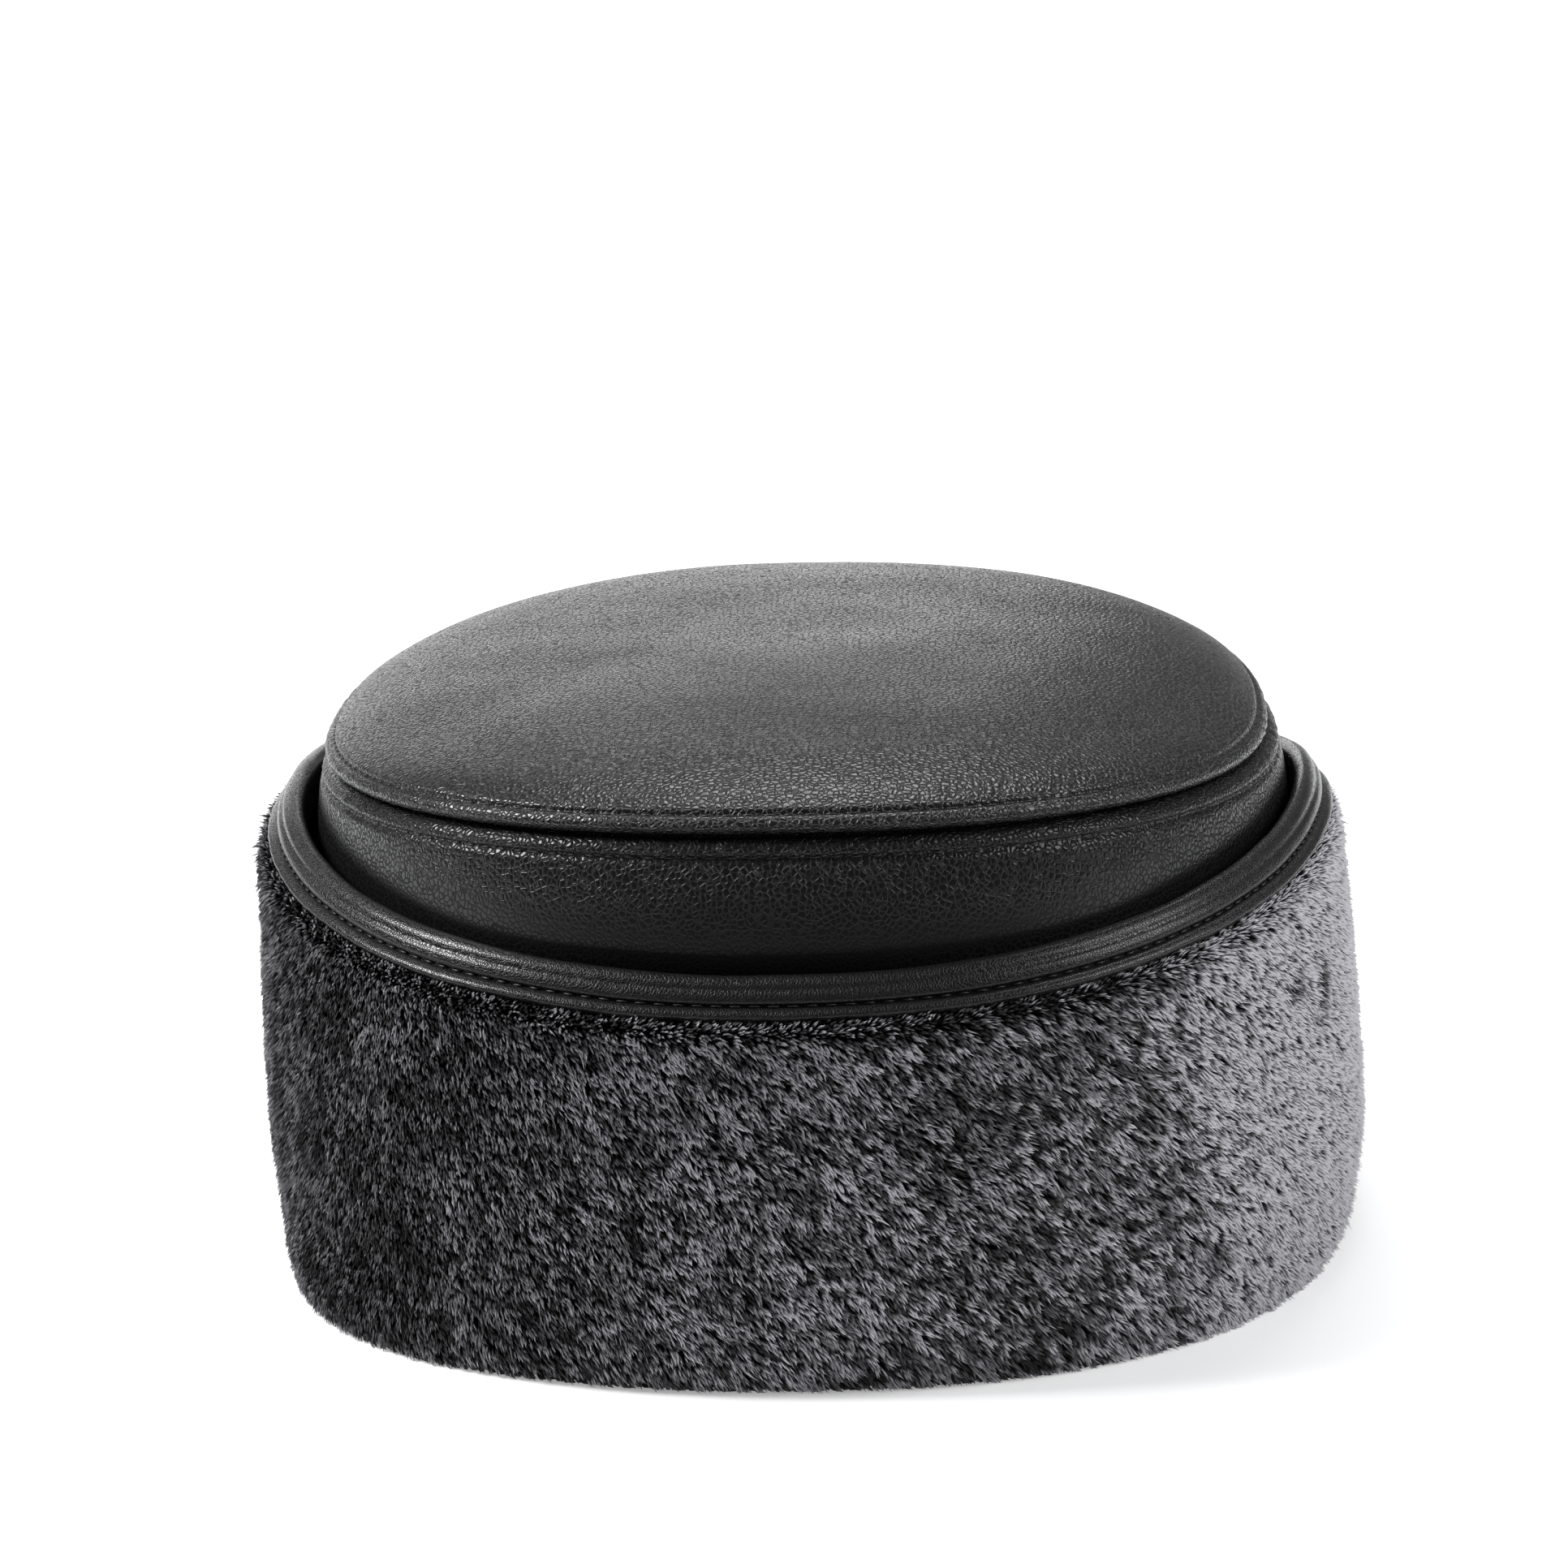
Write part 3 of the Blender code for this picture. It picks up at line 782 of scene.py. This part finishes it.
LEFT_PRESS = ([0, 20, 62, 72], [-2.2, -1.8, -1.5, -0.5])  # heights and moves outward, both in mm
RIGHT_BULGE = ([0, 8, 20, 32, 50], [-0.8, 0.2, 0.9, 0.5, 0.0])
LEFT_FOOT, RIGHT_FOOT = 6.2, 3.4


def slump(radius, height, turn):
    """The cuff is pressed flatter on its left, bulges on its right and spreads at both lower corners."""
    outside = np.clip((radius - 96 * MM) / (8 * MM), 0, 1)
    left = np.interp(height / MM, *LEFT_PRESS) * hump(turn, -92, 55)
    right = np.interp(height / MM, *RIGHT_BULGE) * hump(turn, 66, 62)
    left_corner = LEFT_FOOT * np.clip(1 - height / (16 * MM), 0, 1) * hump(turn, -46, 34)
    right_corner = RIGHT_FOOT * np.clip(1 - height / (12 * MM), 0, 1) * hump(turn, 50, 44)
    return (left + right + (left_corner + right_corner)) * MM * outside


def place_fur(radius, height, turn):
    """A place on the fur cuff's oval."""
    return oval(radius + slump(radius, height, turn), cuff_height(height, turn), turn)


underfur_colour = bpy.data.materials.new("underfur_dark_and_painted_shade")
underfur_colour.use_nodes = True
underfur_tree = underfur_colour.node_tree
underfur_shader = underfur_tree.nodes["Principled BSDF"]
underfur_place = add_node(underfur_tree, "ShaderNodeTexCoord")
underfur_noise = add_node(underfur_tree, "ShaderNodeTexNoise", values={"Scale": 900.0, "Detail": 3.0})
underfur_tint = add_node(underfur_tree, "ShaderNodeValToRGB")
# Partly painted shade: this near black also stands for the shade deep in the pile.
underfur_tint.color_ramp.elements[0].color = (0.004, 0.004, 0.005, 1)
underfur_tint.color_ramp.elements[1].color = (0.035, 0.034, 0.038, 1)
underfur_bump = add_node(underfur_tree, "ShaderNodeBump", values={"Strength": 1.0, "Distance": 0.0006})
join(
    underfur_tree,
    (underfur_place.outputs["Object"], underfur_noise.inputs["Vector"]),
    (underfur_noise.outputs["Fac"], underfur_tint.inputs["Fac"]),
    (underfur_tint.outputs["Color"], underfur_shader.inputs["Base Color"]),
    (underfur_noise.outputs["Fac"], underfur_bump.inputs["Height"]),
    (underfur_bump.outputs["Normal"], underfur_shader.inputs["Normal"]),
)
underfur_shader.inputs["Roughness"].default_value = 0.95
underfur_shader.inputs["Specular IOR Level"].default_value = 0.1
underfur = spin_section("fur_cuff_underfur", underfur_section, 180)
press(underfur, place_fur)
finish_piece(underfur, underfur_colour, "grey_fur", "fur_cuff")

# %% [markdown]
# The pile is short and dense. Each tuft is dark at its root and pale at its end. Blender's hair would render
# well, but it isn't mesh and would be lost in an exported part. So the tufts are thousands of slim closed
# blades from arrays of points, in five joined pieces. Each blade writes its shade and the way along it into
# a small UV map, and the material reads its colour there.

# %% The colour of the pile
HAIR_TINT = (1.0, 0.985, 1.05)
ENDS_BY_SHADE = [(0.0, 0.010), (0.25, 0.045), (0.5, 0.160), (0.75, 0.420), (1.0, 0.800)]
ROOT_TO_END = [(0.0, 0.02), (0.55, 0.07), (0.80, 0.75), (1.0, 1.0)]


def add_ramp(tree, stops, tint):
    """A Color Ramp node from places and greys, with a tint on every grey."""
    ramp = add_node(tree, "ShaderNodeValToRGB")
    while len(ramp.color_ramp.elements) < len(stops):
        ramp.color_ramp.elements.new(0.5)
    for element, (at, grey) in zip(ramp.color_ramp.elements, stops):
        element.position = at
        element.color = (*[grey * share for share in tint], 1)
    return ramp


pile_tone, pile_in, pile_out_node = new_group(
    "pile_tone",
    [("Shade", "NodeSocketFloat", 0.5), ("Along", "NodeSocketFloat", 0.5)],
    [("Color", "NodeSocketColor")],
)
ends = add_ramp(pile_tone, ENDS_BY_SHADE, HAIR_TINT)
rise_ramp = add_ramp(pile_tone, ROOT_TO_END, (1, 1, 1))
pile_mix = add_node(pile_tone, "ShaderNodeVectorMath", {"operation": "MULTIPLY"})
join(
    pile_tone,
    (pile_in.outputs["Shade"], ends.inputs["Fac"]),
    (pile_in.outputs["Along"], rise_ramp.inputs["Fac"]),
    (ends.outputs["Color"], pile_mix.inputs[0]),
    (rise_ramp.outputs["Color"], pile_mix.inputs[1]),
    (pile_mix.outputs[0], pile_out_node.inputs["Color"]),
)
pile_colour = bpy.data.materials.new("grey_pile")
pile_colour.use_nodes = True
pile_tree = pile_colour.node_tree
pile_shader = pile_tree.nodes["Principled BSDF"]
pile_shader.inputs["Roughness"].default_value = 0.7
pile_shader.inputs["Specular IOR Level"].default_value = 0.25
pile_map = add_node(pile_tree, "ShaderNodeUVMap", {"uv_map": "OFBake"})
pile_split = add_node(pile_tree, "ShaderNodeSeparateXYZ")
pile_group = add_node(pile_tree, "ShaderNodeGroup", {"node_tree": pile_tone})
join(
    pile_tree,
    (pile_map.outputs["UV"], pile_split.inputs[0]),
    (pile_split.outputs["X"], pile_group.inputs["Shade"]),
    (pile_split.outputs["Y"], pile_group.inputs["Along"]),
    (pile_group.outputs["Color"], pile_shader.inputs["Base Color"]),
)
print("pile colours by shade:", ENDS_BY_SHADE)

# %% [markdown]
# The tufts cover the outside of the cuff evenly, and are thinner where it turns under and stands on the
# table. A random scatter would leave clumps and bare spots. So each tuft takes the next step of a fixed
# sequence that fills the surface evenly and never repeats.

# %% Spread the tufts
TUFTS_A_PIECE = 38500
UNDERSIDE_SHARE = 0.3  # of the usual number of tufts
SIDES = {
    "front_left": (-60, 0),
    "front_right": (0, 60),
    "right": (60, 140),
    "back": (140, 220),
    "left": (-140, -60),
}  # first and last turn, in degrees
SMALL_STEP = 0.05 * MM
SMALL_TURN = 0.001
ROOT_DEPTH = 0.2 * MM  # from the underfur's surface down to the roots


def unit(vectors):
    """Each vector at length 1."""
    return vectors / np.maximum(np.linalg.norm(vectors, axis=1), 1e-9)[:, None]


def scatter(count, seed):
    """Evenly spread pairs of shares from 0 to 1."""
    index = np.arange(count) + 0.5 + seed * 1013
    return (index * 0.7548776662466927) % 1.0, (index * 0.5698402909980532) % 1.0


travel_weight = np.where(pile_line[:, 1] > 2.0 * MM, 1.0, UNDERSIDE_SHARE)
travel_weight = np.where(pile_travel > pile_travel[-1] - 9 * MM, UNDERSIDE_SHARE, travel_weight)
mean_weight = (travel_weight[1:] + travel_weight[:-1]) / 2
travel_share = np.concatenate([[0], np.cumsum(mean_weight * np.diff(pile_travel))])
travel_share /= travel_share[-1]


def along_section(travel):
    """The section's point, its direction and its outward side at a travel from the top of the pile."""
    columns = np.hstack([pile_line, pile_along, pile_out])
    return [np.interp(travel, pile_travel, column) for column in columns.T]


def tuft_places(first_turn, last_turn, seed):
    """The travel and the turn of each tuft between two turns."""
    first, second = scatter(TUFTS_A_PIECE, seed)
    travel = np.interp(first, travel_share, pile_travel)
    fine = np.radians(np.linspace(first_turn, last_turn, 500))
    ring = oval(106 * MM, 30 * MM, fine)
    length = np.concatenate([[0], np.cumsum(np.linalg.norm(np.diff(ring, axis=0), axis=1))])
    return travel, np.interp(second * length[-1], length, fine)


def skin_at(travel, turn):
    """The pile's surface at each tuft, with its directions outward, downward and round the cuff."""
    r, z, along_r, along_z, out_r, out_z = along_section(travel)
    point = place_fur(r, z, turn)
    out = unit(place_fur(r + out_r * SMALL_STEP, z + out_z * SMALL_STEP, turn) - point)
    down = unit(place_fur(r + along_r * SMALL_STEP, z + along_z * SMALL_STEP, turn) - point)
    around = unit(place_fur(r, z, turn + SMALL_TURN) - point)
    return SimpleNamespace(point=point, out=out, down=down, around=around)


print("tufts:", TUFTS_A_PIECE * len(SIDES))

# %% [markdown]
# Round the front of the cuff the pile lies slanting down and to the right. Neighbouring tufts lean together
# into locks, which draw the short slanting strokes that the eye sees. The locks could be found by clustering
# the tufts, but a grid that is turned along the lay gives them at once: each tuft belongs to the cell that
# it stands in, and is pulled towards a place near the cell's middle.

# %% Gather the tufts into locks
LOCK_WIDTH = 0.85 * MM
LOCK_LENGTH = 1.9 * MM
ARC_RADIUS = 109  # in mm, which makes a turn round the cuff a length
COMB_STEP = np.radians(15)
LAY_BY_TURN = [
    (-180, 32), (-120, 20), (-90, 30), (-60, 56), (-45, 60), (-25, 54), (0, 46), (45, 42), (90, 44), (140, 38),
    (180, 32), (225, 24),
]  # turn, and how far the lay is turned from straight down to the right, in degrees


def hash_share(a, b, seed):
    """A repeatable share from 0 to 1 for each pair of whole numbers."""
    x = np.sin(a * 127.1 + b * 311.7 + seed * 74.7) * 43758.5453
    return x - np.floor(x)


def gather_locks(travel, turn, random):
    """Each tuft's lay, its lock's own chances, and how far it is pulled to its lock's middle."""
    arc = turn * ARC_RADIUS * MM
    lay = np.radians(np.interp(np.degrees(turn), *zip(*LAY_BY_TURN)))
    comb = COMB_STEP * np.round(lay / COMB_STEP)
    across = arc * np.cos(comb) - travel * np.sin(comb) + random.normal(0, 0.12 * MM, len(turn))
    forward = arc * np.sin(comb) + travel * np.cos(comb) + random.normal(0, 0.3 * MM, len(turn))
    column = np.floor(across / LOCK_WIDTH) + 1000 * np.round(comb / COMB_STEP)
    shift = hash_share(column, 0 * column, 3)
    row = np.floor(forward / LOCK_LENGTH + shift)
    middle_across = np.floor(across / LOCK_WIDTH) + 0.25 + 0.5 * hash_share(column, row, 7)
    middle_forward = row - shift + 0.25 + 0.5 * hash_share(column, row, 9)
    off_across = LOCK_WIDTH * middle_across - across
    off_forward = LOCK_LENGTH * middle_forward - forward
    return SimpleNamespace(
        lay=lay,
        chance=hash_share(column, row, 5),
        turn_chance=hash_share(column, row, 11),
        pull_around=off_across * np.cos(comb) + off_forward * np.sin(comb),
        pull_down=off_forward * np.cos(comb) - off_across * np.sin(comb),
    )


print("a lock is", round(LOCK_WIDTH / MM, 2), "mm by", round(LOCK_LENGTH / MM, 2), "mm")

# %% [markdown]
# A tuft is a slim blade with a root, a belly of two points and an end, which close to four triangles. More
# points would curve it, but at this size they would only cost time. One tuft in twenty is a guard hair,
# which is longer, thinner and stands out a little further.

# %% Shape the blades
TUFT_LENGTH = 4.2 * MM
TUFT_WIDTH = 0.56 * MM
GUARD_SHARE = 0.05
BELLY_AT = 0.62  # share of the way from the root to the end
BELLY_LIFT = 0.35 * MM
LOWEST = 0.05 * MM
BLADE_FACES = np.array([[0, 2, 1], [3, 1, 2], [0, 1, 3], [0, 3, 2]])
BLADE_CORNERS = np.array([[0.0, 0.01], [-0.012, 0.62], [0.012, 0.62], [0.0, 0.99]])  # shade and way along


def shape_blades(travel, skin, lock, random):
    """The four points of each blade: its root, the two sides of its belly and its end."""
    count = len(travel)
    guard = random.random(count) < GUARD_SHARE
    size = TUFT_LENGTH * (0.75 + 0.35 * random.random(count) + 0.25 * lock.chance)
    size *= np.where(guard, 1.35, 1.0)
    size *= np.interp(travel, [0, 2 * MM, 5 * MM], [0.5, 0.7, 1.0])
    lean = np.radians(26 + 18 * random.random(count) + 14 * lock.chance)
    lay = lock.lay + math.radians(14) * lumps(skin.point, 17 * MM, 2)
    lay = lay + math.radians(15) * (2 * lock.turn_chance - 1)
    flat = skin.down * np.cos(lay)[:, None] + skin.around * np.sin(lay)[:, None]
    flat = unit(flat + random.normal(0, 0.17, flat.shape))
    direction = unit(skin.out * np.sin(lean)[:, None] + flat * np.cos(lean)[:, None])
    depth = np.interp(travel, pile_travel, sunk) + ROOT_DEPTH
    root = skin.point - skin.out * depth[:, None]
    end = root + direction * size[:, None]
    end = end + skin.around * (0.5 * lock.pull_around)[:, None]
    end = end + skin.down * (0.5 * lock.pull_down)[:, None]
    standing = np.sum((end - skin.point) * skin.out, 1)
    limit = 0.4 * MM + 0.8 * MM * lock.chance + np.where(guard, 0.4 * MM, 0)
    end -= skin.out * np.maximum(standing - limit, 0)[:, None]
    side = unit(np.cross(unit(end - root), skin.out))
    width = TUFT_WIDTH * (0.75 + 0.5 * random.random(count)) * np.where(guard, 0.5, 1.0)
    belly = root + (end - root) * BELLY_AT + skin.out * BELLY_LIFT
    half = side * (width / 2)[:, None]
    points = np.stack([root, belly - half, belly + half, end], 1)
    points[:, :, 2] = np.maximum(points[:, :, 2], LOWEST)
    return points


print("triangles in a blade:", len(BLADE_FACES))

# %% [markdown]
# The fur is dark on its left and turns pale on its right. Part of this is the fur's own tone and part is
# painted sheen: where the eye looks along the lay, the light from the right meets the pale ends, and this
# is painted into the shade of the tufts by their turn. Each lock has its own shade, soft patches lie over
# them, and a few dark marks sit at listed places. On the left front the pile is painted lighter higher up
# and darker lower down, and just under the binding it is painted darker where the binding's lip shades it.
# A seeded generator makes every run the same.

# %% Shade the fur and grow it
# Partly the fur's own tone and partly painted sheen: the pale right side is where the eye looks along the lay
# and the light from the right meets the pale ends.
TONE_AND_PAINTED_SHEEN_BY_TURN = [
    (-180, 0.60), (-120, 0.50), (-90, 0.40), (-60, 0.38), (-42, 0.37), (-25, 0.41), (-8, 0.54), (6, 0.55),
    (20, 0.42), (30, 0.49), (35, 0.57), (40, 0.90), (47, 1.06), (54, 1.13), (70, 1.20), (100, 1.10),
    (140, 0.78), (180, 0.60),
]
DARK_MARKS = [
    (55, 59.0, 3.4, 1.2), (62, 57.0, 2.8, 1.1), (61.6, 52.6, 2.8, 0.9), (39.6, 17.4, 2.8, 0.6),
    (31, 48, 5.0, 0.14), (1, 44, 2.6, 0.35), (9, 9, 2.6, 0.4), (-3, 22, 2.0, 0.3), (15, 60, 2.4, 0.25),
    (-33, 47, 5.5, 0.2), (-36, 25, 6.0, 0.22), (-14, 33, 4.0, 0.2),
]  # turn in degrees, height and size in mm, strength
DARKEST, PALEST = 0.03, 0.97


def shade_tufts(travel, turn, skin, lock, random):
    """The shade of each tuft, from 0 for the darkest to 1 for the palest."""
    arc = turn * ARC_RADIUS * MM
    height = along_section(travel)[1]
    marks = np.zeros(len(turn))
    for mark_turn, mark_height, mark_size, strength in DARK_MARKS:
        away_around = arc - math.radians(mark_turn) * ARC_RADIUS * MM
        away_up = height - mark_height * MM
        marks += strength * np.exp(-(away_around**2 + away_up**2) / (mark_size * MM) ** 2)
    base = np.interp((np.degrees(turn) + 180) % 360 - 180, *zip(*TONE_AND_PAINTED_SHEEN_BY_TURN))
    # Painted light: on the left front the pile is made lighter higher up and darker lower down.
    base = base + 0.10 * hump(turn, -28, 45) * (height / (36 * MM) - 1)
    patches = 0.20 * lumps(skin.point, 15 * MM, 11) + 0.16 * lumps(skin.point, 4.5 * MM, 12)
    shade = base + patches + 0.82 * (lock.chance - 0.5) + 0.30 * (random.random(len(turn)) - 0.5)
    # Painted shade: the tufts just under the binding are made darker, as its lip shades them, least on the
    # right.
    painted_shade_under_binding = 0.2 * (1 - hump(turn, 75, 70)) * np.clip(1 - travel / (2.5 * MM), 0, 1)
    return np.clip(shade - np.clip(marks, 0, 1.0) - painted_shade_under_binding, DARKEST, PALEST)


def grow(name, first_turn, last_turn, seed):
    """One part of the pile, between two turns, as a mesh of slim closed blades."""
    random = np.random.default_rng(40 + seed)
    travel, turn = tuft_places(first_turn, last_turn, seed)
    skin = skin_at(travel, turn)
    lock = gather_locks(travel, turn, random)
    points = shape_blades(travel, skin, lock, random)
    shade = shade_tufts(travel, turn, skin, lock, random)
    faces = (BLADE_FACES[None] + (np.arange(len(turn)) * 4)[:, None, None]).reshape(-1, 3)
    piece = mesh_from(name, points.reshape(-1, 3), faces)
    strip = np.tile(BLADE_CORNERS[BLADE_FACES], (len(turn), 1, 1, 1))
    strip[:, :, :, 0] += shade[:, None, None]
    layer = piece.data.uv_layers.new(name="OFBake")
    layer.data.foreach_set("uv", strip.astype(np.float32).ravel())
    finish_piece(piece, pile_colour, "grey_fur", "fur_cuff")


for seed, (side_name, (first_turn, last_turn)) in enumerate(SIDES.items()):
    grow("fur_cuff_pile_" + side_name, first_turn, last_turn, seed)
